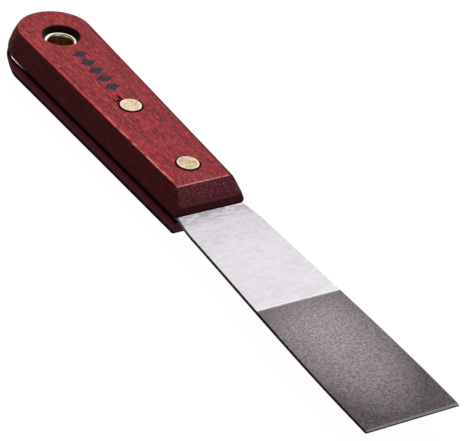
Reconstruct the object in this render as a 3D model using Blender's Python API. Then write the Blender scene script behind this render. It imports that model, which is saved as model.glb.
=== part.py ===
"""Putty knife: a flat steel blade with a full tang, two hardwood scales riveted to it by two
brass compression rivets, and a brass eyelet that lines the hang hole at the butt.

Metres, +Z up. The knife lies flat on its lower scale. X runs across it, -Y points at the
blade's tip and +Y at the butt, and the origin is under the middle of its length. Pieces are
drawn from the middle of the tang at the handle's front, and an empty there carries them all.
"""

import math

import bmesh
import bpy
from mathutils import Vector
from mathutils.geometry import interpolate_bezier

# --- Driving dimensions ---------------------------------------------------------------------
# Blade. A reach is a distance from the handle's front, forwards on the blade.
BLADE_LENGTH = 0.1090
TIP_WIDTH = 0.0322
SHOULDER_WIDTH = 0.0236  # where the blade leaves the handle
NECK_WIDTH = 0.0264  # where the quick flare ends and the long one begins
NECK_REACH = 0.010
FLARE_REACH = 0.095  # where the blade is at full width
GRIND_REACH = 0.0498  # line where the taper grind starts
BEVEL_LENGTH = 0.0007
BLADE_THICKNESS = 0.0012
TIP_THICKNESS = 0.0009
EDGE_THICKNESS = 0.0005  # left at the very tip by the bevel
# Handles of the flare's two curves, as (reach gained, half-width gained) from each curve's end.
QUICK_FLARE_LEAVES = (-0.0035, 0.0005)
QUICK_FLARE_ARRIVES = (0.0045, -0.0002)
LONG_FLARE_LEAVES = (-0.025, 0.0008)
LONG_FLARE_ARRIVES = (0.026, -0.0001)

# Handle. A reach is a distance from the handle's front, towards the butt.
OVERALL_THICKNESS = 0.0164  # over both scales, without the rivet heads
TOP_FRONT_WIDTH = 0.01966  # of a scale's outer face, at the handle's front
WIDENING = 0.027  # half-width gained for each metre towards the butt
UPPER_SLANT = math.radians(25.0)  # of the upper scale's sides from the vertical
LOWER_SLANT = math.radians(22.8)  # and of the lower one's
BUTT_START = 0.101  # reach where the outer face's rounded butt begins
BUTT_LENGTH = 0.012  # from there to the end of the outer face
BUTT_SLANT = 0.42  # the butt's run outwards for each metre down
BUTT_LEAD = 0.2  # and how much earlier its rounding begins
BUTT_FULLNESS = 0.0003  # most that the butt's shoulders swell, a third of the way down
EASE_WIDTH = 0.0014  # rounded edge beside the tang
EASE_HEIGHT = 0.0019
UPPER_CHAMFER_RUN = 0.0053  # front chamfer, along the handle
LOWER_CHAMFER_RUN = 0.0037
CHAMFER_DROP = 0.0042
RIGHT_CORNER = 0.0022  # plan radius of the front corners, the right one worn rounder
LEFT_CORNER = 0.0006
OUTER_EDGE = 0.0003  # small flat that takes the sharpness off the outer face
LOWER_OVERSIZE = 0.0003  # the lower scale stands out past the upper one by this
TANG_INSET = 0.0002  # tang's edge behind the scales' inner edges

# Compression rivets: a post from above, pressed into a sleeve from below.
RIVET_REACHES = {"front": 0.0154, "rear": 0.0509}
RIVET_HEAD_RADIUS = 0.0036
RIVET_HEAD_THICKNESS = 0.0016
RIVET_HEAD_ROUNDING = 0.0004
RIVET_RECESS_RADIUS = 0.0041
POST_PROUD = 0.0004  # post's head above the upper scale
SLEEVE_SUNK = 0.0002  # sleeve's head inside the lower scale, so the knife lies flat
POST_RADIUS = 0.0013
SLEEVE_RADIUS = 0.0024
SLEEVE_CLEARANCE = 0.0010  # between the sleeve's open end and the post's head

# Hang hole.
HOLE_REACH = 0.0970
HOLE_RECESS_RADIUS = 0.00647
EYELET_SUNK = 0.0021  # eyelet's rims below the outer faces
EYELET_INNER_RADIUS = 0.0043
EYELET_WALL = 0.0004
EYELET_RIM_RADIUS = 0.0053
EYELET_RIM_THICKNESS = 0.0006
WASHER_RADIUS = 0.0059
WASHER_THICKNESS = 0.0005

GAP = 0.0003  # between pieces that touch
CUTTER_EXTRA = 0.002  # length of a cutter past the outer faces
SMOOTH_ANGLE = math.radians(30.0)  # edges sharper than this stay crisp
BUTT_STEPS = 28  # around the butt
CORNER_STEPS = 4
EASE_STEPS = 5
CURVE_STEPS = 12  # along each stretch of the blade's flare
TURN_STEPS = 40  # around a turned piece or a hole
EDGE_STEPS = 4  # around a rivet head's rounded edge
RIM_STEPS = 4  # around the eyelet's rolled rims

# --- Levels that follow from them, above the middle of the tang -----------------------------
OUTER_FACE = OVERALL_THICKNESS / 2
INNER_FACE = BLADE_THICKNESS / 2 + GAP
POST_TOP = OUTER_FACE + POST_PROUD
POST_UNDER = POST_TOP - RIVET_HEAD_THICKNESS
SLEEVE_UNDER = SLEEVE_SUNK - OUTER_FACE
SLEEVE_TOP = SLEEVE_UNDER + RIVET_HEAD_THICKNESS
RIM_LEVEL = OUTER_FACE - EYELET_SUNK  # outermost level of the eyelet's rims, either side
RIM_BACK = RIM_LEVEL - EYELET_RIM_THICKNESS
TUBE_RADIUS = EYELET_INNER_RADIUS + EYELET_WALL


# --- Mesh helpers ----------------------------------------------------------------------------
def clear_scene():
    for thing in list(bpy.data.objects):
        bpy.data.objects.remove(thing, do_unlink=True)


def make_material(name, colour, roughness, metallic):
    material = bpy.data.materials.new(name)
    material.use_nodes = True
    shader = material.node_tree.nodes["Principled BSDF"]
    shader.inputs["Base Color"].default_value = (*colour, 1.0)
    shader.inputs["Roughness"].default_value = roughness
    shader.inputs["Metallic"].default_value = metallic
    return material


def object_from(bm, name, material, parent, reach=0.0):
    """The finished bmesh as a named object, with outward faces, at this reach."""
    bmesh.ops.recalc_face_normals(bm, faces=bm.faces)
    mesh = bpy.data.meshes.new(name)
    bm.to_mesh(mesh)
    bm.free()
    mesh.shade_smooth()
    mesh.set_sharp_from_angle(angle=SMOOTH_ANGLE)
    mesh.materials.append(material)
    thing = bpy.data.objects.new(name, mesh)
    bpy.context.collection.objects.link(thing)
    thing.parent = parent
    thing.location = (0.0, reach, 0.0)
    return thing


def loft(rings):
    """A closed bmesh through rings of equally many points, with both end rings capped."""
    bm = bmesh.new()
    loops = [[bm.verts.new(point) for point in ring] for ring in rings]
    count = len(loops[0])
    for lower, upper in zip(loops, loops[1:]):
        for i in range(count):
            j = (i + 1) % count
            bm.faces.new((lower[i], lower[j], upper[j], upper[i]))
    bm.faces.new(loops[0])
    bm.faces.new(loops[-1])
    return bm


def turned(profile):
    """A closed bmesh turned about Z from (radius, height) points.

    A profile that starts and ends on the axis is solid; any other closes on itself as a ring.
    """
    bm = bmesh.new()
    rings = []
    for radius, height in profile:
        if radius == 0.0:
            rings.append([bm.verts.new((0.0, 0.0, height))])
            continue
        angles = [math.tau * i / TURN_STEPS for i in range(TURN_STEPS)]
        points = [(radius * math.cos(a), radius * math.sin(a), height) for a in angles]
        rings.append([bm.verts.new(point) for point in points])
    pairs = list(zip(rings, rings[1:]))
    if profile[0][0] > 0.0:
        pairs.append((rings[-1], rings[0]))
    for near, far in pairs:
        for i in range(TURN_STEPS):
            j = (i + 1) % TURN_STEPS
            corners = [near[i % len(near)], near[j % len(near)]]
            corners += [far[j % len(far)], far[i % len(far)]]
            bm.faces.new(list(dict.fromkeys(corners)))
    return bm


def arc(x, y, radius, start, end, steps):
    """Points along an arc about (x, y); angles in degrees."""
    points = []
    for i in range(steps + 1):
        angle = math.radians(start + (end - start) * i / steps)
        points.append((x + radius * math.cos(angle), y + radius * math.sin(angle)))
    return points


def cut(target, cutter):
    boolean = target.modifiers.new("cut_" + cutter.name, "BOOLEAN")
    boolean.operation = "DIFFERENCE"
    boolean.solver = "EXACT"
    boolean.object = cutter


# --- Scales ----------------------------------------------------------------------------------
def handle_outline(offset, butt_offset, lead, fullness, front, wear):
    """The handle's outline at one height: straight sides that widen, and a rounded butt.

    offset and butt_offset are how far it lies outside the outer face's outline, lead is how
    much earlier the butt begins, and fullness is how far its shoulders swell. front is its
    distance behind the handle's front, and wear the share of the front corners' full rounding.
    """
    start = BUTT_START - lead
    half_front = TOP_FRONT_WIDTH / 2 + offset + WIDENING * front
    half_butt = TOP_FRONT_WIDTH / 2 + offset + WIDENING * start
    length = BUTT_LENGTH + butt_offset + lead
    right, left = RIGHT_CORNER * wear, LEFT_CORNER * wear
    points = arc(half_front - right, front + right, right, -90, 0, CORNER_STEPS)
    for x, y in arc(0.0, 0.0, 1.0, 0, 180, BUTT_STEPS):
        swell = fullness * abs(2 * x * y)
        points.append(((half_butt + swell) * x, start + (length + swell) * y))
    return points + arc(left - half_front, front + left, left, 180, 270, CORNER_STEPS)


def scale_levels():
    """A scale's rings from its inner face to its outer one, closest where its edge is eased."""
    turns = [math.pi / 2 * i / EASE_STEPS for i in range(EASE_STEPS + 1)]
    eased = [INNER_FACE + EASE_HEIGHT * (1 - math.cos(turn)) for turn in turns]
    depths = [CHAMFER_DROP, CHAMFER_DROP * 2 / 3, CHAMFER_DROP / 3, OUTER_EDGE, 0.0]
    return eased + [OUTER_FACE - depth for depth in depths]


def scale_outline(level, slant, oversize, chamfer_run):
    """A scale's outline at this height from the middle of the tang.

    Beside the tang both scales are equally wide but for the oversize, whatever their slant.
    """
    depth = OUTER_FACE - level
    full_depth = OUTER_FACE - INNER_FACE
    spread = full_depth * math.tan(UPPER_SLANT) - (full_depth - depth) * math.tan(slant)
    rise = min(1.0, (level - INNER_FACE) / EASE_HEIGHT)
    eased = EASE_WIDTH * (1 - math.sqrt(1 - (1 - rise) ** 2))
    blunted = max(0.0, OUTER_EDGE - depth)
    outwards = oversize - eased - blunted
    front = blunted + chamfer_run * max(0.0, 1 - depth / CHAMFER_DROP)
    sunk = depth / full_depth
    worn = min(1.0, (depth + OUTER_EDGE) / CHAMFER_DROP)
    return handle_outline(
        spread + outwards,
        depth * BUTT_SLANT + outwards,
        depth * BUTT_LEAD,
        BUTT_FULLNESS * sunk * (1 - sunk) ** 2 * 27 / 4,  # peaks a third of the way down
        front,
        max(worn**2, OUTER_EDGE / CHAMFER_DROP),
    )


def make_scale(name, side, slant, oversize, chamfer_run, material, parent):
    """A scale above (side 1) or below (side -1) the tang."""
    rings = []
    for level in scale_levels():
        outline = scale_outline(level, slant, oversize, chamfer_run)
        rings.append([(x, y, side * level) for x, y in outline])
    return object_from(loft(rings), name, material, parent)


def handle_length():
    """From the handle's front to the end of the butt, on the larger scale."""
    outlines = []
    for level in scale_levels():
        outlines.append(scale_outline(level, LOWER_SLANT, LOWER_OVERSIZE, LOWER_CHAMFER_RUN))
    return max(y for outline in outlines for _, y in outline)


# --- Blade -----------------------------------------------------------------------------------
def tang_stations():
    """(y, half-width) along the tang, from the butt to just behind the handle's front."""
    inner = scale_outline(INNER_FACE, UPPER_SLANT, -TANG_INSET, UPPER_CHAMFER_RUN)
    inner = inner[CORNER_STEPS + 1 : -CORNER_STEPS - 1]
    stations = [(y, x) for x, y in inner[: BUTT_STEPS // 2]]
    front_half = inner[0][0] - WIDENING * inner[0][1]
    stations.append((0.0, front_half))
    stations.sort(reverse=True)
    return stations


def blade_stations():
    """(y, half-width) along the blade, from the handle's front to the tip."""
    shoulder = Vector((-GAP, SHOULDER_WIDTH / 2))
    neck = Vector((-NECK_REACH, NECK_WIDTH / 2))
    full = Vector((-FLARE_REACH, TIP_WIDTH / 2))
    quick = interpolate_bezier(
        shoulder,
        shoulder + Vector(QUICK_FLARE_LEAVES),
        neck + Vector(QUICK_FLARE_ARRIVES),
        neck,
        CURVE_STEPS,
    )
    gentle = interpolate_bezier(
        neck,
        neck + Vector(LONG_FLARE_LEAVES),
        full + Vector(LONG_FLARE_ARRIVES),
        full,
        CURVE_STEPS,
    )
    stations = [(point.x, point.y) for point in quick + gentle[1:]]
    after = next(i for i, (y, _) in enumerate(stations) if y < -GRIND_REACH)
    (y0, half0), (y1, half1) = stations[after - 1], stations[after]
    share = (y0 + GRIND_REACH) / (y0 - y1)
    stations.insert(after, (-GRIND_REACH, half0 + (half1 - half0) * share))
    stations.append((BEVEL_LENGTH - BLADE_LENGTH, TIP_WIDTH / 2))
    stations.append((-BLADE_LENGTH, TIP_WIDTH / 2))
    return stations


def blade_thickness(y):
    """Full as far as the grind line, tapering to the bevel, then down to the edge."""
    bevel_start = BLADE_LENGTH - BEVEL_LENGTH
    if -y <= GRIND_REACH:
        return BLADE_THICKNESS
    if -y > bevel_start:
        return EDGE_THICKNESS
    share = (-y - GRIND_REACH) / (bevel_start - GRIND_REACH)
    return BLADE_THICKNESS + (TIP_THICKNESS - BLADE_THICKNESS) * share


def make_blade(material, parent):
    rings = []
    for y, half in tang_stations() + blade_stations():
        z = blade_thickness(y) / 2
        rings.append([(half, y, z), (-half, y, z), (-half, y, -z), (half, y, -z)])
    return object_from(loft(rings), "blade", material, parent)


# --- Rivets and eyelet -----------------------------------------------------------------------
def head_profile(outer, inner):
    """A rivet head from the centre of its outer face, around its edge, to its inner face."""
    turn = 1 if outer > inner else -1
    x = RIVET_HEAD_RADIUS - RIVET_HEAD_ROUNDING
    z = outer - turn * RIVET_HEAD_ROUNDING
    edge = arc(x, z, RIVET_HEAD_ROUNDING, turn * 90, 0, EDGE_STEPS)
    return [(0.0, outer)] + edge + [(RIVET_HEAD_RADIUS, inner)]


def make_rivet(where, material, parent):
    post_end = SLEEVE_TOP + GAP
    post = head_profile(POST_TOP, POST_UNDER)
    post += [(POST_RADIUS, POST_UNDER), (POST_RADIUS, post_end), (0.0, post_end)]
    bore = POST_RADIUS + GAP
    mouth = POST_UNDER - SLEEVE_CLEARANCE
    sleeve = head_profile(SLEEVE_UNDER, SLEEVE_TOP)
    sleeve += [(SLEEVE_RADIUS, SLEEVE_TOP), (SLEEVE_RADIUS, mouth)]
    sleeve += [(bore, mouth), (bore, SLEEVE_TOP), (0.0, SLEEVE_TOP)]
    reach = RIVET_REACHES[where]
    object_from(turned(post), where + "_rivet_post", material, parent, reach)
    object_from(turned(sleeve), where + "_rivet_sleeve", material, parent, reach)


def make_eyelet(material, parent):
    """A tube with its upper rim rolled over and its lower rim clinched under the washer."""
    half = EYELET_RIM_THICKNESS / 2
    inner, outer = EYELET_INNER_RADIUS + half, EYELET_RIM_RADIUS - half
    middle = RIM_LEVEL - half
    profile = arc(inner, middle, half, 180, 90, RIM_STEPS // 2)
    profile += arc(outer, middle, half, 90, -90, RIM_STEPS)
    profile += [(TUBE_RADIUS, RIM_BACK), (TUBE_RADIUS, -RIM_BACK)]
    profile += arc(outer, -middle, half, 90, -90, RIM_STEPS)
    profile += arc(inner, -middle, half, -90, -180, RIM_STEPS // 2)
    object_from(turned(profile), "hang_hole_eyelet", material, parent, HOLE_REACH)


def make_washer(material, parent):
    low = GAP - RIM_BACK
    high = low + WASHER_THICKNESS
    inner = TUBE_RADIUS + GAP
    profile = [(inner, low), (WASHER_RADIUS, low), (WASHER_RADIUS, high), (inner, high)]
    object_from(turned(profile), "hang_hole_washer", material, parent, HOLE_REACH)


# --- Holes -----------------------------------------------------------------------------------
def make_cutter(name, reach, recess, bore, high, low, parent):
    """A hole's cutter: bored through, and recessed from each outer face to high and to low."""
    end = OUTER_FACE + CUTTER_EXTRA
    profile = [(0.0, end), (recess, end), (recess, high), (bore, high)]
    profile += [(bore, low), (recess, low), (recess, -end), (0.0, -end)]
    material = make_material(name, (1.0, 1.0, 1.0), 0.5, 0.0)
    cutter = object_from(turned(profile), name, material, parent, reach)
    cutter.hide_render = True
    cutter.display_type = "WIRE"
    return cutter


def make_cutters(parent):
    cutters = []
    for where, reach in RIVET_REACHES.items():
        high, low = POST_UNDER - GAP, SLEEVE_TOP + GAP
        bore = SLEEVE_RADIUS + GAP
        name = where + "_rivet_cutter"
        cutters.append(make_cutter(name, reach, RIVET_RECESS_RADIUS, bore, high, low, parent))
    high, low = RIM_BACK - GAP, 2 * GAP + WASHER_THICKNESS - RIM_BACK
    bore = TUBE_RADIUS + GAP
    name = "hang_hole_cutter"
    cutters.append(make_cutter(name, HOLE_REACH, HOLE_RECESS_RADIUS, bore, high, low, parent))
    return cutters


def main():
    clear_scene()
    knife = bpy.data.objects.new("knife", None)
    bpy.context.collection.objects.link(knife)
    knife.location = (0.0, (BLADE_LENGTH - handle_length()) / 2, OUTER_FACE)
    steel = make_material("brushed_steel", (0.62, 0.60, 0.62), 0.30, 1.0)
    hardwood = make_material("dyed_hardwood", (0.30, 0.05, 0.05), 0.55, 0.0)
    brass = make_material("brass", (0.80, 0.63, 0.38), 0.25, 1.0)

    blade = make_blade(steel, knife)
    upper = make_scale("upper_scale", 1, UPPER_SLANT, 0.0, UPPER_CHAMFER_RUN, hardwood, knife)
    lower = make_scale(
        "lower_scale", -1, LOWER_SLANT, LOWER_OVERSIZE, LOWER_CHAMFER_RUN, hardwood, knife
    )
    for cutter in make_cutters(knife):
        for drilled in (blade, upper, lower):
            cut(drilled, cutter)
    for where in RIVET_REACHES:
        make_rivet(where, brass, knife)
    make_eyelet(brass, knife)
    make_washer(brass, knife)


main()
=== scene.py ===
"""Looks of a putty knife: dyed hardwood scales, ground steel blade, brass rivets and eyelet.

Metres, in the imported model's frame: the knife lies on its lower scale, its blade points to -Y.
Shapes are drawn from the middle of the tang at the handle's front, which HOME marks.
"""

import math

import bmesh
import bpy
from mathutils import Euler, Matrix, Quaternion, Vector, noise
from mathutils.geometry import interpolate_bezier


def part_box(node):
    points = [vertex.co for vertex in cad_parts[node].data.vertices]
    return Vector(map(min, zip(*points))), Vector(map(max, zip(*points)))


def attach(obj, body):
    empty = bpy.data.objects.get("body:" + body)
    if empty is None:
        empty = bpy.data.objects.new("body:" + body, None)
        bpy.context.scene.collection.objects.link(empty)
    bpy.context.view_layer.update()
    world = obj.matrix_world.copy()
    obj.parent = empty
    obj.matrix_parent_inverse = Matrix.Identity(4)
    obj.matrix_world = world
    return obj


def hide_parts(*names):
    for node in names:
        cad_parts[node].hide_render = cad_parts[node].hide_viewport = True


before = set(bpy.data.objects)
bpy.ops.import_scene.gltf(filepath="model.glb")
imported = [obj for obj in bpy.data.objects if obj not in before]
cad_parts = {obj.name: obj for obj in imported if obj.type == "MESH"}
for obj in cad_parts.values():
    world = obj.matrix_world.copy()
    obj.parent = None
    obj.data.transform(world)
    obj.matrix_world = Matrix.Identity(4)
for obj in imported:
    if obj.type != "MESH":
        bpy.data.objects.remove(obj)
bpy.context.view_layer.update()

# --- Places read from the frame ---------------------------------------------------------------
UPPER_LOW, UPPER_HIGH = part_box("upper_scale")
LOWER_LOW, LOWER_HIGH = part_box("lower_scale")
BLADE_LOW, BLADE_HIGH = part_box("blade")
HOME = Vector((0.0, UPPER_LOW.y, (UPPER_HIGH.z + LOWER_LOW.z) / 2))
OUTER_FACE = UPPER_HIGH.z - HOME.z
BLADE_LENGTH = HOME.y - BLADE_LOW.y
TIP_HALF = BLADE_HIGH.x
BLADE_HALF_THICKNESS = (BLADE_HIGH.z - BLADE_LOW.z) / 2


def reach_of(node):
    """How far behind the handle's front the middle of a round node is."""
    low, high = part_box(node)
    return (low.y + high.y) / 2 - HOME.y


def radius_of(node):
    low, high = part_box(node)
    return (high.x - low.x) / 2


FRONT_RIVET = reach_of("front_rivet_post")
REAR_RIVET = reach_of("rear_rivet_post")
HANG_HOLE = reach_of("hang_hole_eyelet")
HEAD_RADIUS = radius_of("front_rivet_post")
HEAD_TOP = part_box("front_rivet_post")[1].z - HOME.z
SLEEVE_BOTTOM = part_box("front_rivet_sleeve")[0].z - HOME.z
RIM_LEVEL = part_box("hang_hole_eyelet")[1].z - HOME.z
RIM_RADIUS = radius_of("hang_hole_eyelet")
WASHER_LOW, WASHER_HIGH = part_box("hang_hole_washer")

# --- Shape of the handle: the CAD model's, but closing most of the gaps between its pieces --------
TOP_FRONT_HALF = 0.00983
WIDENING = 0.027
UPPER_SLANT = math.radians(25.0)
LOWER_SLANT = math.radians(22.8)
BUTT_START = 0.101
BUTT_LENGTH = 0.012
BUTT_SLANT = 0.42
BUTT_LEAD = 0.2
BUTT_BULGE = 0.0003
SLOPE_RUN = 0.0053
LOWER_SLOPE_RUN = 0.0037
CHAMFER_DROP = 0.0042
RIGHT_CORNER = 0.0022
LEFT_CORNER = 0.0006
LOWER_OVERSIZE = 0.0003
INNER_FACE = BLADE_HALF_THICKNESS + 0.00004
EASE_WIDTH = 0.0014
EASE_END = 0.0028
EASE_HEIGHT = EASE_END - INNER_FACE
TANG_INSET = 0.0008


def main():
    upper_wood = wood_material("dyed_hardwood_upper", Vector((0.0, 0.0, 0.0)), True, 1.0, 0.15)
    lower_wood = wood_material("dyed_hardwood_lower", Vector((31.0, 17.0, 9.0)), False, 2.15, 0.60)
    rivet_brass = brass_material()
    eyelet_brass = eyelet_material()
    steel = steel_material()

    holes = hole_cutters()
    cutters = holes + nick_cutters()
    make_scale("upper_scale", 1, UPPER_SLANT, 0.0, 0.00025, 0.5, SLOPE_RUN, 0.0004, upper_wood, cutters)
    make_scale(
        "lower_scale", -1, LOWER_SLANT, LOWER_OVERSIZE, 0.0006, 1.0, LOWER_SLOPE_RUN, 0.0040,
        lower_wood, holes,
    )
    make_blade(steel, holes)
    for where, reach in (("front", FRONT_RIVET), ("rear", REAR_RIVET)):
        make_rivet(where, reach, rivet_brass)
    make_eyelet(eyelet_brass)
    make_washer(eyelet_brass)
    for cutter in cutters:
        bpy.data.objects.remove(cutter, do_unlink=True)
    make_floor()
    make_lights()
    make_camera()


# --- Mesh helpers -------------------------------------------------------------------------------
def object_from(bm, name, material=None, smooth_angle=35.0):
    bmesh.ops.recalc_face_normals(bm, faces=bm.faces)
    mesh = bpy.data.meshes.new(name)
    bm.to_mesh(mesh)
    bm.free()
    mesh.shade_smooth()
    mesh.set_sharp_from_angle(angle=math.radians(smooth_angle))
    if material:
        mesh.materials.append(material)
    thing = bpy.data.objects.new(name, mesh)
    bpy.context.collection.objects.link(thing)
    return thing


def finished(thing, node):
    """The piece stands for its CAD node and rides on the knife."""
    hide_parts(node)
    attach(thing, "root")
    return thing


def arc(x, y, radius, start, end, steps):
    points = []
    for i in range(steps + 1):
        angle = math.radians(start + (end - start) * i / steps)
        points.append((x + radius * math.cos(angle), y + radius * math.sin(angle)))
    return points


def turned(profile, reach, steps=96):
    """A closed bmesh turned about the vertical at this reach, from (radius, height) points."""
    bm = bmesh.new()
    rings = []
    for radius, height in profile:
        z = HOME.z + height
        if radius == 0.0:
            rings.append([bm.verts.new((0.0, HOME.y + reach, z))])
            continue
        ring = []
        for i in range(steps):
            angle = math.tau * i / steps
            x, y = radius * math.cos(angle), radius * math.sin(angle)
            ring.append(bm.verts.new((x, HOME.y + reach + y, z)))
        rings.append(ring)
    pairs = list(zip(rings, rings[1:]))
    if profile[0][0] > 0.0:
        pairs.append((rings[-1], rings[0]))
    for near, far in pairs:
        for i in range(steps):
            j = (i + 1) % steps
            corners = [near[i % len(near)], near[j % len(near)]]
            corners += [far[j % len(far)], far[i % len(far)]]
            bm.faces.new(list(dict.fromkeys(corners)))
    return bm


def weigh_normals(thing):
    weighted = thing.modifiers.new("weighted_normals", "WEIGHTED_NORMAL")
    weighted.keep_sharp = True


def cut_all(thing, cutters):
    """Every cutter taken out of thing, for good."""
    for cutter in cutters:
        boolean = thing.modifiers.new("cut", "BOOLEAN")
        boolean.operation = "DIFFERENCE"
        boolean.solver = "EXACT"
        boolean.object = cutter
    depsgraph = bpy.context.evaluated_depsgraph_get()
    mesh = bpy.data.meshes.new_from_object(thing.evaluated_get(depsgraph))
    thing.modifiers.clear()
    old = thing.data
    thing.data = mesh
    bpy.data.meshes.remove(old)
    mesh.name = thing.name


# --- Scales -------------------------------------------------------------------------------------
BUTT_STEPS = 72
SIDE_STEPS = 60
CORNER_STEPS = 8
FRONT_STEPS = 24
EASE_STEPS = 8
EDGE_STEPS = 5
BODY_ROWS = (0.42, 0.55, 0.68, 0.80, 0.90)  # shares of the scale's thickness
BULGE_PEAK = 27 / 4  # brings the largest share * (1 - share)**2 to 1


def scale_profile(over_edge, ease):
    """(rise, inset) of a scale's side from its eased inner edge to its rounded outer edge."""
    points = []
    for i in range(EASE_STEPS + 1):
        turn = math.pi / 2 * i / EASE_STEPS
        rise = EASE_HEIGHT * ease * (1 - math.cos(turn))
        points.append((INNER_FACE + rise, EASE_WIDTH * ease * (1 - math.sin(turn))))
    body = OUTER_FACE - INNER_FACE
    for share in BODY_ROWS:
        points.append((INNER_FACE + body * share, 0.0))
    for i in range(EDGE_STEPS + 1):
        turn = math.pi / 2 * i / EDGE_STEPS
        rise = over_edge * (1 - math.sin(turn))
        points.append((OUTER_FACE - rise, over_edge * (1 - math.cos(turn))))
    return points


def scale_outline(level, inset, slant, oversize, chamfer_run, worn):
    """The scale's outline at this level: right side, butt, left side and front edge."""
    depth = OUTER_FACE - level
    outwards = oversize - inset
    start = BUTT_START - depth * BUTT_LEAD
    front = inset * 0.5 + chamfer_run * max(0.0, 1 - depth / CHAMFER_DROP)
    if level < OUTER_FACE - CHAMFER_DROP:
        front = 0.0
    full_depth = OUTER_FACE - INNER_FACE
    spread = full_depth * math.tan(UPPER_SLANT) - (full_depth - depth) * math.tan(slant)
    half_front = TOP_FRONT_HALF + spread + outwards + WIDENING * front
    half_butt = TOP_FRONT_HALF + spread + outwards + WIDENING * start
    length = BUTT_LENGTH + depth * (BUTT_SLANT + BUTT_LEAD) + outwards
    length = min(length, (LOWER_HIGH if oversize else UPPER_HIGH).y - HOME.y - start)
    wear = min(1.0, (depth + worn) / CHAMFER_DROP)**2
    right, left = RIGHT_CORNER * wear, LEFT_CORNER * wear
    points = arc(half_front - right, front + right, right, -90, 0, CORNER_STEPS)
    for i in range(1, SIDE_STEPS):
        share = i / SIDE_STEPS
        y = front + right + (start - front - right) * share
        points.append((half_front + (half_butt - half_front) * share, y))
    sunk = min(1.0, depth / full_depth)
    bulge = BUTT_BULGE * BULGE_PEAK * sunk * (1 - sunk)**2
    for x, y in arc(0.0, 0.0, 1.0, 0, 180, BUTT_STEPS):
        out = bulge * abs(2 * x * y)
        points.append(((half_butt + out) * x, start + (length + out) * y))
    for i in range(1, SIDE_STEPS):
        share = 1 - i / SIDE_STEPS
        y = front + left + (start - front - left) * share
        points.append((-half_front - (half_butt - half_front) * share, y))
    points += arc(left - half_front, front + left, left, 180, 270, CORNER_STEPS)
    from_x, to_x = left - half_front, half_front - right
    for i in range(1, FRONT_STEPS):
        points.append((from_x + (to_x - from_x) * i / FRONT_STEPS, front))
    return points


def ladder(bm, ring):
    """Fills a ring with rows across the handle, from its front edge to the butt."""
    around = len(ring) - FRONT_STEPS + 1
    rows = [[ring[0]] + ring[around:][::-1] + [ring[around - 1]]]
    for i in range(1, around // 2):
        a, b = ring[i], ring[around - 1 - i]
        row = [a]
        for c in range(1, FRONT_STEPS):
            row.append(bm.verts.new(a.co.lerp(b.co, c / FRONT_STEPS)))
        rows.append(row + [b])
    for near, far in zip(rows, rows[1:]):
        for c in range(FRONT_STEPS):
            bm.faces.new((near[c], near[c + 1], far[c + 1], far[c]))
    apex = ring[around // 2]
    for c in range(FRONT_STEPS):
        bm.faces.new((rows[-1][c], rows[-1][c + 1], apex))


def make_scale(node, side, slant, oversize, over_edge, ease, chamfer_run, worn, material, cutters):
    """One half of the handle: side is 1 above and -1 below, worn rounds the front corners."""
    bm = bmesh.new()
    rings = []
    for level, inset in scale_profile(over_edge, ease):
        ring = []
        for x, y in scale_outline(level, inset, slant, oversize, chamfer_run, worn):
            ring.append(bm.verts.new((x, HOME.y + y, HOME.z + side * level)))
        rings.append(ring)
    count = len(rings[0])
    for lower, upper in zip(rings, rings[1:]):
        for i in range(count):
            j = (i + 1) % count
            bm.faces.new((lower[i], lower[j], upper[j], upper[i]))
    ladder(bm, rings[0])
    ladder(bm, rings[-1])
    thing = object_from(bm, node + "_wood", material)
    cut_all(thing, cutters)
    sand(thing, side)
    thing.data.shade_smooth()
    thing.data.set_sharp_from_angle(angle=math.radians(40.0))
    weigh_normals(thing)
    thing.visible_glossy = False
    return finished(thing, node)


def sand(thing, side):
    """The slight unevenness of hand sanding, always inwards from the sides and outer face."""
    depth = 0.00012
    side_reach = 0.0085  # from the middle, beyond which a point belongs to a side
    for vertex in thing.data.vertices:
        place = vertex.co
        wave = noise.noise(Vector((place.x * 90, place.y * 35, place.z * 90 + side * 5)))
        dip = depth * (0.5 + 0.5 * wave)
        level = side * (place.z - HOME.z)
        if level > OUTER_FACE - 0.0001:
            vertex.co.z -= side * dip * 0.25
        reach = place.y - HOME.y
        if 0.001 < reach and abs(place.x) > side_reach:
            vertex.co.x -= math.copysign(dip, place.x)


# --- Holes --------------------------------------------------------------------------------------
RIVET_RECESS = 0.0041
RIVET_BORE = 0.0025
HANG_RECESS = 0.00647
HANG_BORE = 0.00475
HOLE_LIP = 0.00022
LIP_SINK = 0.96  # under 1, so that the lip's arc crosses the outer face and doesn't just touch it
HEAD_SEAT = 0.00194  # the wood under a head starts this far below its top
SLEEVE_SEAT = 0.00164
RIM_SEAT = 0.00066
WASHER_GAP = 0.00004


def mouth_profile(recess, bore, high, low):
    """A hole's cutter: bored through, recessed from both faces, with softened mouths."""
    top = OUTER_FACE
    beyond = 0.002
    lip = HOLE_LIP
    profile = [(0.0, top + beyond), (recess + beyond, top + beyond)]
    profile += arc(recess + lip, top - lip * LIP_SINK, lip, 90, 180, 4)
    profile += [(recess, high), (bore, high), (bore, low), (recess, low)]
    profile += arc(recess + lip, lip * LIP_SINK - top, lip, 180, 270, 4)
    profile += [(recess + beyond, -top - beyond), (0.0, -top - beyond)]
    return profile


def hole_cutters():
    rivet = mouth_profile(RIVET_RECESS, RIVET_BORE, HEAD_TOP - HEAD_SEAT, SLEEVE_BOTTOM + SLEEVE_SEAT)
    washer_seat = WASHER_HIGH.z - HOME.z + WASHER_GAP
    hang = mouth_profile(HANG_RECESS, HANG_BORE, RIM_LEVEL - RIM_SEAT, washer_seat)
    cutters = []
    for reach, profile in ((FRONT_RIVET, rivet), (REAR_RIVET, rivet), (HANG_HOLE, hang)):
        cutters.append(object_from(turned(profile, reach), "cutter"))
    return cutters


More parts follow.
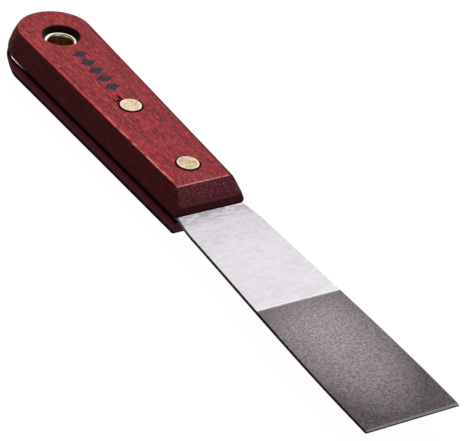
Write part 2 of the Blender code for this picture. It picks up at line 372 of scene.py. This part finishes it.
def nick_cutters():
    """Torn grain beside the rear rivet, as long lens-shaped cuts."""
    cutters = []
    nicks = (
        # across, behind the handle's front, long, wide, deep, turn in degrees
        (-0.0010, 0.0560, 0.0042, 0.00095, 0.0008, 4.0),
        (-0.0034, 0.0550, 0.0034, 0.00060, 0.0005, 3.0),
        (-0.0022, 0.0545, 0.0020, 0.0013, 0.0007, 10.0),
    )
    for across, reach, long, wide, deep, turn in nicks:
        bm = bmesh.new()
        bmesh.ops.create_icosphere(bm, subdivisions=3, radius=1.0)
        matrix = Matrix.LocRotScale(
            Vector((across, HOME.y + reach, HOME.z + OUTER_FACE)),
            Euler((0.0, 0.0, math.radians(turn))),
            Vector((wide / 2, long / 2, deep)),
        )
        bm.transform(matrix)
        cutters.append(object_from(bm, "cutter"))
    return cutters


# --- Blade --------------------------------------------------------------------------------------
NECK_REACH = 0.010
FLARE_REACH = 0.095
GRIND_REACH = 0.0498
BEVEL_LENGTH = 0.0007
BEVEL_HALF = 0.00045  # half the thickness where the bevel starts
BEVEL_DROP = 0.0002
TANG_SINK = 0.0003
BLADE_COLUMNS = 20


def blade_outline():
    """(y, half-width) of the exposed blade, from the handle's front to the tip."""
    shoulder = Vector((0.0, 0.0118))
    neck = Vector((-NECK_REACH, 0.0132))
    full = Vector((-FLARE_REACH, TIP_HALF))
    quick = interpolate_bezier(
        shoulder, shoulder + Vector((-0.0035, 0.0005)), neck + Vector((0.0045, -0.0002)), neck, 12
    )
    gentle = interpolate_bezier(
        neck, neck + Vector((-0.025, 0.0008)), full + Vector((0.026, -0.0001)), full, 60
    )
    points = [(p.x, p.y) for p in quick + gentle[1:]]
    flat_steps = 12
    for i in range(1, flat_steps + 1):
        share = i / flat_steps
        y = -FLARE_REACH + (FLARE_REACH + BEVEL_LENGTH - BLADE_LENGTH) * share
        points.append((y, TIP_HALF))
    for share in (0.15, 0.5, 1.0):
        points.append((BEVEL_LENGTH * (1 - share) - BLADE_LENGTH, TIP_HALF))
    return points


def tang_outline():
    """(y, half-width) of the tang from the butt forwards, closest to flush at its two ends."""
    depth = OUTER_FACE - INNER_FACE
    start = BUTT_START - depth * BUTT_LEAD
    points = []
    butt_steps, side_steps = 36, 48
    edge = TOP_FRONT_HALF + depth * math.tan(UPPER_SLANT) - TANG_INSET
    length = BUTT_LENGTH + depth * (BUTT_SLANT + BUTT_LEAD) - TANG_INSET - TANG_SINK
    for i in range(1, butt_steps + 1):
        angle = math.pi / 2 * (1 - i / butt_steps)
        half = (edge + WIDENING * start - TANG_SINK) * math.cos(angle)
        points.append((start + length * math.sin(angle), half))
    for i in range(1, side_steps):
        share = i / side_steps
        y = start * (1 - share)
        deepest = min(1.0, max(0.0, (start - 0.005 - y) / 0.006), y / 0.006)
        points.append((y, edge + WIDENING * y - (TANG_SINK + 0.0012 * deepest)))
    return points


def blade_half_thickness(y):
    full = BLADE_HALF_THICKNESS
    bevel_start = BLADE_LENGTH - BEVEL_LENGTH
    if -y <= GRIND_REACH:
        return full
    if -y > bevel_start + 0.00001:
        share = (-y - bevel_start) / BEVEL_LENGTH
        return BEVEL_HALF - BEVEL_DROP * share
    share = (-y - GRIND_REACH) / (bevel_start - GRIND_REACH)
    return full + (BEVEL_HALF - full) * share


def make_blade(material, cutters):
    """Blade and tang in one, as rings round its section from the butt to the tip."""
    edge = 0.0002
    bm = bmesh.new()
    rings = []
    for y, half in tang_outline() + blade_outline():
        z = blade_half_thickness(y)
        corner = []
        for i in range(4):
            turn = math.pi / 2 * i / 3
            corner.append((half - edge * (1 - math.sin(turn)), z - edge * (1 - math.cos(turn))))
        upper = [(-x, h) for x, h in corner[::-1]]
        for c in range(1, BLADE_COLUMNS):
            upper.append((-(half - edge) * (1 - 2 * c / BLADE_COLUMNS), z))
        upper += corner
        under = [(x, -h) for x, h in upper[::-1]]
        rings.append([(x, y, h) for x, h in upper + under])
    loops = [[bm.verts.new((x, HOME.y + y, HOME.z + h)) for x, y, h in ring] for ring in rings]
    count = len(loops[0])
    for near, far in zip(loops, loops[1:]):
        for i in range(count):
            j = (i + 1) % count
            bm.faces.new((near[i], near[j], far[j], far[i]))
    bm.faces.new(loops[0])
    bm.faces.new(loops[-1])
    thing = object_from(bm, "blade_steel", material, 30.0)
    cut_all(thing, cutters)
    weigh_normals(thing)
    return finished(thing, "blade")


# --- Rivets and eyelet --------------------------------------------------------------------------
def make_rivet(where, reach, material):
    """A post with a slightly domed head, and the sleeve that its shank goes into."""
    crown, rounding = 0.00006, 0.00020
    head_thickness, shaft_gap = 0.0016, 0.0003
    shank, tube, tube_bore = 0.0013, 0.0024, 0.0014
    under = HEAD_TOP - head_thickness
    inner = SLEEVE_BOTTOM + head_thickness
    tube_end = under - 0.001
    post = [(0.0, HEAD_TOP)]
    for i in range(1, 7):
        share = i / 7
        post.append(((HEAD_RADIUS - rounding) * share, HEAD_TOP - crown * share**2))
    post += arc(HEAD_RADIUS - rounding, HEAD_TOP - crown - rounding, rounding, 90, 0, 6)
    post += [(HEAD_RADIUS, under), (shank, under), (shank, inner + shaft_gap)]
    post += [(0.0, inner + shaft_gap)]
    thing = object_from(turned(post, reach), where + "_rivet_post_brass", material)
    finished(thing, where + "_rivet_post")
    sleeve = [(0.0, SLEEVE_BOTTOM)]
    sleeve += arc(HEAD_RADIUS - rounding, SLEEVE_BOTTOM + rounding, rounding, -90, 0, 6)
    sleeve += [(HEAD_RADIUS, inner), (tube, inner), (tube, tube_end)]
    sleeve += [(tube_bore, tube_end), (tube_bore, inner), (0.0, inner)]
    thing = object_from(turned(sleeve, reach), where + "_rivet_sleeve_brass", material)
    finished(thing, where + "_rivet_sleeve")


def make_eyelet(material):
    """A tube with a funnel mouth and a rolled rim at both ends."""
    half = 0.0003
    bore, tube = 0.0042, 0.0047
    funnel_width, funnel_depth, funnel_steps = 0.00072, 0.0009, 8
    outer = RIM_RADIUS - half
    middle = RIM_LEVEL - half
    mouth = []
    for i in range(funnel_steps + 1):
        turn = math.pi / 2 * i / funnel_steps
        radius = bore + funnel_width * (1 - math.cos(turn))
        mouth.append((radius, RIM_LEVEL - funnel_depth * (1 - math.sin(turn))))
    profile = mouth + arc(outer, middle, half, 90, -90, 12)
    profile += [(tube, middle - half), (tube, half - middle)]
    profile += arc(outer, -middle, half, 90, -90, 12)
    profile += [(radius, -height) for radius, height in mouth[::-1]]
    thing = object_from(turned(profile, HANG_HOLE), "hang_hole_eyelet_brass", material)
    finished(thing, "hang_hole_eyelet")


def make_washer(material):
    low, high = WASHER_LOW.z - HOME.z, WASHER_HIGH.z - HOME.z
    inner, outer = 0.0049, radius_of("hang_hole_washer")
    soft = 0.0001
    profile = arc(inner + soft, low + soft, soft, 180, 270, 3)
    profile += arc(outer - soft, low + soft, soft, 270, 360, 3)
    profile += arc(outer - soft, high - soft, soft, 0, 90, 3)
    profile += arc(inner + soft, high - soft, soft, 90, 180, 3)
    thing = object_from(turned(profile, HANG_HOLE), "hang_hole_washer_brass", material)
    finished(thing, "hang_hole_washer")


# --- Node helpers -------------------------------------------------------------------------------
class Nodes:
    """Short ways to add nodes to a material and join them."""

    def __init__(self, name):
        self.material = bpy.data.materials.new(name)
        self.material.use_nodes = True
        self.tree = self.material.node_tree
        self.shader = self.tree.nodes["Principled BSDF"]
        place = self.add("ShaderNodeTexCoord").outputs["Object"]
        self.place = self.vector("SUBTRACT", place, HOME)
        self.place = self.vector("SCALE", self.place, scale=1000.0)
        split = self.add("ShaderNodeSeparateXYZ")
        self.join(self.place, split.inputs[0])
        self.x, self.y, self.z = split.outputs

    def add(self, kind, **settings):
        node = self.tree.nodes.new(kind)
        for name, value in settings.items():
            setattr(node, name, value)
        return node

    def join(self, value, socket):
        if isinstance(value, bpy.types.NodeSocket):
            self.tree.links.new(value, socket)
        else:
            socket.default_value = value

    def vector(self, operation, a, b=None, scale=None):
        node = self.add("ShaderNodeVectorMath", operation=operation)
        self.join(a, node.inputs[0])
        if b is not None:
            self.join(b, node.inputs[1])
        if scale is not None:
            self.join(scale, node.inputs["Scale"])
        return node.outputs[0]

    def math(self, operation, a, b=0.0, c=0.0):
        node = self.add("ShaderNodeMath", operation=operation)
        for value, socket in zip((a, b, c), node.inputs):
            self.join(value, socket)
        return node.outputs[0]

    def times(self, product, *factors):
        for factor in factors:
            product = self.math("MULTIPLY", product, factor)
        return product

    def minus(self, a, b):
        return self.math("SUBTRACT", a, b)

    def size(self, value):
        return self.math("ABSOLUTE", value)

    def squares(self, a, b):
        return self.math("ADD", self.times(a, a), self.times(b, b))

    def stretched(self, x, y, z, shift=(0.0, 0.0, 0.0)):
        """The place in millimetres, shifted, then stretched by these factors."""
        moved = self.vector("ADD", self.place, shift)
        return self.vector("MULTIPLY", moved, (x, y, z))

    def normal(self):
        """How far the bare surface faces across and along the knife."""
        split = self.add("ShaderNodeSeparateXYZ")
        self.join(self.add("ShaderNodeNewGeometry").outputs["Normal"], split.inputs[0])
        return split.outputs[0], split.outputs[1]

    def noise(self, vector, detail=2.0, roughness=0.5):
        node = self.add("ShaderNodeTexNoise")
        self.join(vector, node.inputs["Vector"])
        node.inputs["Scale"].default_value = 1.0
        node.inputs["Detail"].default_value = detail
        node.inputs["Roughness"].default_value = roughness
        return node.outputs["Fac"]

    def ramp(self, value, low, high, to_low=0.0, to_high=1.0, smooth=False):
        """value carried from low..high to to_low..to_high, held at both ends."""
        node = self.add("ShaderNodeMapRange")
        node.interpolation_type = "SMOOTHSTEP" if smooth else "LINEAR"
        self.join(value, node.inputs["Value"])
        for name, number in zip(("From Min", "From Max", "To Min", "To Max"),
                                (low, high, to_low, to_high)):
            node.inputs[name].default_value = number
        return node.outputs["Result"]

    def mix(self, share, a, b, blend="MIX"):
        node = self.add("ShaderNodeMix", data_type="RGBA", blend_type=blend)
        self.join(share, node.inputs["Factor"])
        for value, name in ((a, "A_Color"), (b, "B_Color")):
            socket = next(s for s in node.inputs if s.identifier == name)
            self.join(value if isinstance(value, bpy.types.NodeSocket) else (*value, 1.0), socket)
        return next(s for s in node.outputs if s.identifier == "Result_Color")

    def bump(self, height, distance, strength):
        node = self.add("ShaderNodeBump")
        node.inputs["Strength"].default_value = strength
        node.inputs["Distance"].default_value = distance
        self.join(height, node.inputs["Height"])
        return node.outputs["Normal"]

    def set(self, **values):
        names = {"colour": "Base Color", "roughness": "Roughness", "metallic": "Metallic",
                 "normal": "Normal", "specular": "Specular IOR Level"}
        for name, value in values.items():
            self.join(value, self.shader.inputs[names[name]])


# --- Materials: places in millimetres from HOME -------------------------------------------------
FACE_LEVEL = OUTER_FACE * 1000
SEAM_LEVEL = INNER_FACE * 1000
SLOPE_FOOT = (OUTER_FACE - CHAMFER_DROP) * 1000
TANG_SHINE = 95.0  # how far back the tang's edge comes out nearly flush and bright


def grain_textures(n):
    """Long streaks, short flecks, fine fibre and open pores, all running along the handle."""
    streaks = n.noise(n.stretched(1.05, 0.080, 1.05, (4.0, 1.0, 8.0)), detail=4.0, roughness=0.65)
    flecks = n.noise(n.stretched(1.75, 0.42, 1.75, (3.0, 9.0, 1.0)), detail=3.0, roughness=0.75)
    fibre = n.noise(n.stretched(5.0, 0.45, 5.0), detail=3.0, roughness=0.6)
    pores = n.noise(n.stretched(3.2, 0.32, 3.2, (7.0, 3.0, 5.0)), detail=2.0)
    return streaks, flecks, fibre, n.ramp(pores, 0.60, 0.68, smooth=True)


def dyed_colour(n, streaks, flecks, fibre, pores):
    patches = n.noise(n.stretched(0.20, 0.055, 0.20), detail=3.0, roughness=0.6)
    colour = n.mix(n.ramp(patches, 0.35, 0.65), (0.165, 0.006, 0.008), (0.240, 0.013, 0.015))
    colour = n.mix(n.ramp(streaks, 0.49, 0.60, 0.0, 0.75), colour, (0.065, 0.003, 0.005))
    colour = n.mix(n.ramp(streaks, 0.47, 0.36, 0.0, 0.50), colour, (0.33, 0.020, 0.021))
    colour = n.mix(n.ramp(flecks, 0.52, 0.62, 0.0, 0.60), colour, (0.44, 0.062, 0.067))
    colour = n.mix(n.ramp(flecks, 0.47, 0.37, 0.0, 0.62), colour, (0.080, 0.004, 0.006))
    colour = n.mix(n.ramp(fibre, 0.35, 0.65, 0.25, 0.0), colour, (0.10, 0.008, 0.010))
    return n.mix(n.times(pores, 0.50), colour, (0.045, 0.004, 0.005))


def end_grain(n):
    """The colour where the front was sawn and sloped."""
    dots = n.noise(n.stretched(1.8, 1.8, 1.8, (1.0, 5.0, 2.0)), detail=4.0, roughness=0.8)
    colour = n.mix(n.ramp(dots, 0.36, 0.54), (0.052, 0.0045, 0.009), (0.145, 0.016, 0.024))
    colour = n.mix(n.ramp(dots, 0.54, 0.62, 0.0, 0.8), colour, (0.38, 0.145, 0.17))
    foot = n.ramp(n.z, SLOPE_FOOT + 0.4, SLOPE_FOOT, 0.0, 0.5)
    return n.mix(foot, colour, (0.20, 0.033, 0.045))


def worn_and_shaded_edges(n, colour, flecks):
    """Rubbed pale on the left and across the front; painted shade darker on the right and on faces
    turned right and back.
    """
    across, along = n.normal()
    half = n.math("MULTIPLY_ADD", n.y, WIDENING, TOP_FRONT_HALF * 1000)
    from_left = n.math("ADD", n.x, half)
    from_right = n.minus(half, n.x)
    near_face = n.ramp(n.z, FACE_LEVEL - 0.9, FACE_LEVEL - 0.5)
    edge_only = n.ramp(n.z, FACE_LEVEL - 0.22, FACE_LEVEL - 0.10)

    broken = n.noise(n.stretched(0.5, 0.16, 0.5, (2.0, 2.0, 6.0)), detail=3.0, roughness=0.7)
    rubbed = n.times(n.ramp(from_left, 1.5, 0.5), n.ramp(broken, 0.38, 0.56), edge_only,
                     n.ramp(n.y, 85.0, 50.0, 0.25, 1.0))
    colour = n.mix(n.times(rubbed, 0.80), colour, (0.50, 0.066, 0.056))
    bare = n.times(n.ramp(from_left, 0.60, 0.25), n.ramp(broken, 0.46, 0.56), edge_only,
                   n.ramp(n.y, 60.0, 30.0))
    colour = n.mix(n.times(bare, 0.7), colour, (0.62, 0.20, 0.18))
    from_slope = n.size(n.minus(n.y, SLOPE_RUN * 1000))
    pale = n.times(n.ramp(from_slope, 0.30, 0.12), n.ramp(flecks, 0.40, 0.52), near_face)
    colour = n.mix(n.times(pale, 0.8), colour, (0.66, 0.36, 0.37))

    # Painted shade: the top grows darker towards its right side.
    right_side_shade = n.times(n.ramp(from_right, 9.0, 1.0, 0.0, 0.30), near_face)
    colour = n.mix(right_side_shade, colour, (0.115, 0.006, 0.012))
    # Painted shade on the faces turned right and back, and along the right edge.
    facing_away = n.math("MULTIPLY_ADD", across, 0.6, n.times(along, 0.8))
    shade = n.math("MAXIMUM", n.ramp(facing_away, 0.12, 0.40),
                   n.ramp(from_right, 1.2, 0.6, 0.0, 0.90))
    return n.mix(n.times(shade, near_face, 0.92), colour, (0.060, 0.003, 0.009))


def recess_shade(n, colour):
    """Painted shade in the recesses round the rivets and the eyelet."""
    sunk = n.ramp(n.z, FACE_LEVEL - 0.12, FACE_LEVEL - 0.45)
    for reach, recess in (
        (FRONT_RIVET, RIVET_RECESS), (REAR_RIVET, RIVET_RECESS), (HANG_HOLE, HANG_RECESS)
    ):
        edge = recess * 1000
        out = n.squares(n.minus(n.y, reach * 1000), n.x)
        inside = n.times(n.ramp(out, (edge + 0.3)**2, (edge + 0.1)**2), sunk)
        colour = n.mix(n.times(inside, 0.85), colour, (0.022, 0.003, 0.003))
    return colour


def seam_and_foot_shade(n, along, front, seam_width):
    """Painted shade in the seam beside the tang, and round the edge that the knife rests on."""
    wider = n.math("MAXIMUM", n.times(front, 0.45), n.ramp(along, 0.15, 0.60, 0.0, 1.2))
    from_tang = n.minus(n.size(n.z), wider)
    seam = n.ramp(from_tang, SEAM_LEVEL + seam_width, SEAM_LEVEL)
    foot = n.ramp(n.z, 2.8 - FACE_LEVEL, 2.2 - FACE_LEVEL)
    return n.math("MAXIMUM", seam, foot)


def print_mask(n):
    """A plain row of printed diamonds between the hang hole and the rear rivet."""
    first, pitch, count = REAR_RIVET * 1000 + 9.4, 5.3, 5
    half_length, half_width = 2.40, 3.2
    along = n.minus(n.y, first)
    cell = n.minus(n.math("MODULO", along, pitch), pitch / 2)
    inside = n.times(n.math("GREATER_THAN", along, 0.0), n.math("LESS_THAN", along, pitch * count))
    span = n.math("ADD", n.math("DIVIDE", n.size(cell), half_length),
                  n.math("DIVIDE", n.size(n.x), half_width))
    above = n.math("GREATER_THAN", n.z, FACE_LEVEL - 0.3)
    return n.times(n.ramp(span, 1.0, 0.93), inside, above)


def wood_material(name, shift, printed, brightness, seam_width):
    """Dyed hardwood; brightness makes up for a half that this studio's light leaves too dark."""
    n = Nodes(name)
    wander = n.ramp(n.noise(n.stretched(0.05, 0.03, 0.05, shift), detail=1.0), 0.3, 0.7, -1.2, 1.2)
    bend = n.add("ShaderNodeCombineXYZ")
    n.join(wander, bend.inputs[0])
    n.place = n.vector("ADD", n.vector("ADD", n.place, bend.outputs[0]), shift)
    across, along = n.normal()

    streaks, flecks, fibre, pores = grain_textures(n)
    colour = dyed_colour(n, streaks, flecks, fibre, pores)
    # Painted shade: the side faces are made darker than the top.
    sides = n.math("MAXIMUM", n.size(across), along)
    colour = n.mix(n.ramp(sides, 0.35, 0.70, 0.0, 0.70), colour, (0.118, 0.014, 0.0205))
    front = n.ramp(along, -0.30, -0.50)
    colour = n.mix(front, colour, end_grain(n))
    colour = worn_and_shaded_edges(n, colour, flecks)
    colour = recess_shade(n, colour)
    seam_shade_mask = seam_and_foot_shade(n, along, front, seam_width)
    # Painted shade in the seam and round the foot; the wood's sheen is also taken out there.
    colour = n.mix(n.times(seam_shade_mask, 0.93), colour, (0.006, 0.0015, 0.002))
    if printed:
        ink = n.times(print_mask(n), n.ramp(flecks, 0.66, 0.56, 0.75, 0.97))
        colour = n.mix(ink, colour, (0.008, 0.009, 0.018))
    if brightness != 1.0:
        colour = n.mix(1.0, colour, (brightness, brightness, brightness * 1.1), "MULTIPLY")

    height = n.math("MULTIPLY_ADD", fibre, 0.35, n.times(flecks, 0.5))
    height = n.math("MULTIPLY_ADD", pores, -0.8, height)
    height = n.math("MULTIPLY_ADD", streaks, -0.5, height)
    rough = n.ramp(n.math("ADD", streaks, fibre), 0.7, 1.3, 0.50, 0.64)
    n.set(colour=colour, roughness=rough, normal=n.bump(height, 0.00010, 0.9),
          specular=n.ramp(seam_shade_mask, 0.0, 1.0, 0.18, 0.0))
    return n.material


def brushed_colour(n, brush):
    """The bright steel between handle and grind line, greyer and smudged near the handle."""
    marks = n.noise(n.stretched(0.35, 1.5, 1.0, (5.0, 0.0, 0.0)), detail=4.0, roughness=0.7)
    cloud = n.noise(n.stretched(0.10, 0.08, 0.1), detail=3.0)
    colour = n.mix(n.ramp(brush, 0.30, 0.70), (0.600, 0.573, 0.602), (0.675, 0.648, 0.684))
    colour = n.mix(n.ramp(marks, 0.54, 0.66, 0.0, 0.60), colour, (0.50, 0.46, 0.50))
    colour = n.mix(n.ramp(cloud, 0.50, 0.66, 0.0, 0.50), colour, (0.57, 0.54, 0.57))
    colour = n.mix(n.ramp(marks, 0.44, 0.34, 0.0, 0.50), colour, (0.78, 0.76, 0.80))
    close = n.ramp(n.y, -26.0, -4.0)
    colour = n.mix(n.times(close, 0.55), colour, (0.53, 0.505, 0.53))
    smudge = n.times(close, n.ramp(marks, 0.50, 0.60, 0.0, 0.45))
    colour = n.mix(smudge, colour, (0.42, 0.39, 0.42))
    rubbed = n.times(n.ramp(n.y, -7.0, -1.0), n.ramp(marks, 0.46, 0.54))
    return n.mix(n.times(rubbed, 0.75), colour, (0.26, 0.22, 0.25))


def ground_colour(n, grind, pits):
    """The ground end: dark, with a painted reflection as a paler patch round its middle, darker along
    the grind line.
    """
    # A painted reflection: a paler ellipse round the middle of the ground end.
    reflection_x = n.math("DIVIDE", n.math("ADD", n.x, 1.0), 19.0)
    reflection_y = n.math("DIVIDE", n.minus(n.y, grind - 15.0), 38.0)
    painted_reflection = n.ramp(n.squares(reflection_x, reflection_y), 0.0, 1.25, 1.0, 0.0)
    dark = n.mix(painted_reflection, (0.036, 0.027, 0.033), (0.165, 0.134, 0.141))
    light = n.mix(painted_reflection, (0.108, 0.088, 0.098), (0.405, 0.350, 0.355))
    colour = n.mix(n.ramp(pits, 0.40, 0.62), dark, light)
    past = n.ramp(n.minus(n.y, n.times(n.x, 0.25)), grind - 9.0, grind + 3.0, 0.0, 0.62)
    colour = n.mix(past, colour, (0.12, 0.098, 0.105))
    speckle = n.noise(n.stretched(3.5, 3.5, 3.5), detail=3.0, roughness=0.7)
    return n.mix(n.ramp(speckle, 0.35, 0.65, 0.22, 0.0), colour, (0.10, 0.085, 0.09))


def steel_material():
    n = Nodes("ground_steel")
    across, along = n.normal()
    grind = -GRIND_REACH * 1000
    tip = -BLADE_LENGTH * 1000
    wobble = n.noise(n.stretched(0.25, 0.25, 0.25), detail=2.0)
    line = n.math("MULTIPLY_ADD", n.minus(wobble, 0.5), 0.3, n.y)
    ground = n.ramp(line, grind + 0.15, grind - 0.75, smooth=True)
    bevel = n.ramp(n.y, tip + 0.76, tip + 0.68)

    brush = n.noise(n.stretched(0.11, 2.4, 1.0), detail=4.0, roughness=0.7)
    hairs = n.noise(n.stretched(0.45, 9.0, 1.0), detail=3.0, roughness=0.6)
    pits = n.noise(n.stretched(1.4, 1.4, 1.4), detail=4.0, roughness=0.8)
    colour = n.mix(ground, brushed_colour(n, brush), ground_colour(n, grind, pits))
    # A painted highlight along the grind line.
    shoulder = n.ramp(n.size(n.minus(line, grind + 0.25)), 0.35, 0.08)
    colour = n.mix(n.times(shoulder, 0.7), colour, (0.78, 0.80, 0.86))
    colour = n.mix(bevel, colour, (0.17, 0.158, 0.163))

    # The blade's cut edges are dark.
    cut = n.math("MAXIMUM", n.ramp(n.size(across), 0.15, 0.45), n.ramp(along, -0.5, -0.8))
    cut = n.times(cut, n.ramp(n.y, 2.0, -2.0))
    colour = n.mix(n.times(cut, 0.93), colour, (0.020, 0.017, 0.019))
    # Painted shade on the tang's edge down in the seam, between its two bright ends; it gets no metal
    # sheen there.
    shaded_tang_edge = n.times(n.ramp(n.y, 4.0, 9.0), n.ramp(n.y, TANG_SHINE, TANG_SHINE - 4.0))
    colour = n.mix(shaded_tang_edge, colour, (0.006, 0.004, 0.005))

    bright = n.minus(1.0, ground)
    rough_near = n.ramp(brush, 0.3, 0.7, 0.42, 0.36)
    rough_far = n.ramp(pits, 0.3, 0.7, 0.42, 0.32)
    rough = n.math("ADD", n.times(ground, rough_far), n.times(bright, rough_near))
    rough = n.times(rough, n.ramp(n.y, 0.0, 4.0, 1.0, 0.5))
    height_near = n.times(bright, n.math("MULTIPLY_ADD", hairs, 0.5, n.times(brush, 0.5)))
    height_far = n.times(ground, pits, 0.9)
    height = n.math("ADD", height_near, height_far)
    n.set(colour=colour, roughness=rough, metallic=n.minus(1.0, shaded_tang_edge),
          normal=n.bump(height, 0.00003, 0.6), specular=0.0)
    return n.material


def brass_material():
    """Faced rivet heads, blotched, the rear one paler, with a painted highlight round their rims and
    painted shade where they sink into the wood.
    """
    n = Nodes("faced_brass")
    blotch = n.noise(n.stretched(0.45, 0.45, 0.45, (2.0, 0.0, 0.0)), detail=3.0, roughness=0.6)
    specks = n.noise(n.stretched(1.3, 1.3, 1.3), detail=3.0, roughness=0.7)
    turning = n.noise(n.stretched(0.7, 6.0, 1.0), detail=3.0)
    rear = n.ramp(n.y, FRONT_RIVET * 1000 + 8.0, REAR_RIVET * 1000 - 8.0)
    colour = n.mix(n.ramp(blotch, 0.35, 0.65), (0.50, 0.365, 0.205), (0.66, 0.515, 0.35))
    colour = n.mix(n.times(rear, 0.6), colour, (0.74, 0.60, 0.44))
    colour = n.mix(n.ramp(specks, 0.50, 0.60, 0.0, 0.8), colour, (0.26, 0.17, 0.08))
    middle = n.ramp(rear, 0.4, 0.6, FRONT_RIVET * 1000, REAR_RIVET * 1000)
    out = n.squares(n.minus(n.y, middle), n.x)
    edge = HEAD_RADIUS * 1000
    # A painted highlight round the rim of each head.
    rim = n.ramp(out, (edge - 0.75)**2, (edge - 0.35)**2)
    colour = n.mix(n.times(rim, 0.7), colour, (0.86, 0.74, 0.56))
    # Painted shade on the heads' sides below their tops; it is also rougher there.
    head_side_shade = n.ramp(n.size(n.z), HEAD_TOP * 1000 - 0.20, HEAD_TOP * 1000 - 0.34)
    colour = n.mix(n.times(head_side_shade, 0.97), colour, (0.012, 0.007, 0.005))
    rough = n.math("ADD", n.ramp(blotch, 0.35, 0.65, 0.38, 0.30), n.times(head_side_shade, 0.3))
    n.set(colour=colour, roughness=rough, metallic=1.0, normal=n.bump(turning, 0.00002, 0.5))
    return n.material


def eyelet_material():
    """Bright where the rims are rubbed, olive brown inside the tube."""
    n = Nodes("eyelet_brass")
    stain = n.noise(n.stretched(0.5, 0.5, 0.25), detail=4.0, roughness=0.65)
    depth = n.minus(RIM_LEVEL * 1000, n.size(n.z))
    inside = n.ramp(depth, 0.9, 1.6, smooth=True)
    bright = n.mix(n.ramp(stain, 0.3, 0.7), (0.88, 0.78, 0.56), (0.97, 0.92, 0.78))
    dull = n.mix(n.ramp(stain, 0.35, 0.65), (0.34, 0.17, 0.025), (0.62, 0.36, 0.08))
    n.set(colour=n.mix(inside, bright, dull), roughness=n.ramp(inside, 0.0, 1.0, 0.24, 0.45),
          metallic=1.0, normal=n.bump(stain, 0.00003, 0.4))
    return n.material


# --- Studio -------------------------------------------------------------------------------------
CARD_DISTANCE = 1.6
MIRRORED_CARDS = (
    # name, azimuth and elevation in degrees, width, height, radiance
    ("rim_card", 76.0, 36.0, 0.8, 1.5, 1.6),
    ("low_card", -14.0, -25.0, 0.9, 0.35, 2.6),
    ("top_card", 180.0, 84.0, 0.9, 0.9, 0.9),
    ("front_card", 180.0, 24.0, 1.0, 0.9, 0.7),
    ("left_card", -96.0, 16.0, 1.0, 0.7, 0.6),
)


def make_floor():
    """A pale floor that lights itself, so it shows next to no shadow."""
    bm = bmesh.new()
    bmesh.ops.create_grid(bm, x_segments=1, y_segments=1, size=3.0)
    floor = object_from(bm, "floor")
    material = bpy.data.materials.new("pale_floor")
    material.use_nodes = True
    shader = material.node_tree.nodes["Principled BSDF"]
    shader.inputs["Base Color"].default_value = (0.04, 0.04, 0.04, 1.0)
    shader.inputs["Emission Color"].default_value = (1.0, 1.0, 1.0, 1.0)
    shader.inputs["Emission Strength"].default_value = 0.98
    shader.inputs["Roughness"].default_value = 0.9
    shader.inputs["Specular IOR Level"].default_value = 0.0
    floor.data.materials.append(material)
    floor.visible_diffuse = False
    floor.visible_glossy = False


def direction(azimuth, elevation):
    a, e = math.radians(azimuth), math.radians(elevation)
    return Vector((math.sin(a) * math.cos(e), math.cos(a) * math.cos(e), math.sin(e)))


def aimed(light, azimuth, elevation, distance=0.0):
    """An object for the light, shining on HOME; azimuth turns from +Y towards +X."""
    thing = bpy.data.objects.new(light.name, light)
    towards = direction(azimuth, elevation)
    thing.location = HOME + towards * distance
    thing.rotation_mode = "QUATERNION"
    thing.rotation_quaternion = towards.to_track_quat("Z", "Y")
    bpy.context.collection.objects.link(thing)
    return thing


def sun(name, azimuth, elevation, strength, angle):
    """A soft distant light."""
    light = bpy.data.lights.new(name, "SUN")
    light.energy = strength
    light.angle = math.radians(angle)
    return aimed(light, azimuth, elevation)


def card(name, azimuth, elevation, size, size_y, radiance):
    """A soft panel for the metal to mirror."""
    light = bpy.data.lights.new(name, "AREA")
    light.shape = "RECTANGLE"
    light.size, light.size_y = size, size_y
    light.energy = radiance * math.pi * size * size_y
    return aimed(light, azimuth, elevation, CARD_DISTANCE)


def make_lights():
    """The key and the panel light the knife; the other cards are only mirrored by its metal."""
    sun("key", 31.0, 46.0, 5.5, 40.0).visible_glossy = False
    card("panel", 37.0, 33.6, 1.6, 1.2, 1.33)
    for settings in MIRRORED_CARDS:
        card(*settings).visible_diffuse = False
    world = bpy.data.worlds.new("studio")
    world.use_nodes = True
    background = world.node_tree.nodes["Background"]
    background.inputs["Color"].default_value = (1.0, 1.0, 1.0, 1.0)
    background.inputs["Strength"].default_value = 0.12
    bpy.context.scene.world = world


CAMERA_PLACE = Vector((-0.3940, -0.5357, 0.4406))  # from HOME
CAMERA_AZIMUTH = math.radians(-36.96)
CAMERA_ELEVATION = math.radians(33.64)
CAMERA_ROLL = math.radians(9.12)
CAMERA_LENS = 201.15


def make_camera():
    camera = bpy.data.cameras.new("camera")
    camera.lens = CAMERA_LENS
    camera.sensor_width = 36.0
    camera.clip_start = 0.05
    camera.clip_end = 20.0
    thing = bpy.data.objects.new("camera", camera)
    bpy.context.collection.objects.link(thing)
    a, e = CAMERA_AZIMUTH, CAMERA_ELEVATION
    back = Vector((math.sin(a) * math.cos(e), -math.cos(a) * math.cos(e), math.sin(e)))
    thing.location = HOME + CAMERA_PLACE
    thing.rotation_mode = "QUATERNION"
    level = (-back).to_track_quat("-Z", "Y")
    thing.rotation_quaternion = level @ Quaternion((0.0, 0.0, 1.0), CAMERA_ROLL)
    bpy.context.scene.camera = thing
    bpy.context.scene.view_settings.view_transform = "Standard"


main()
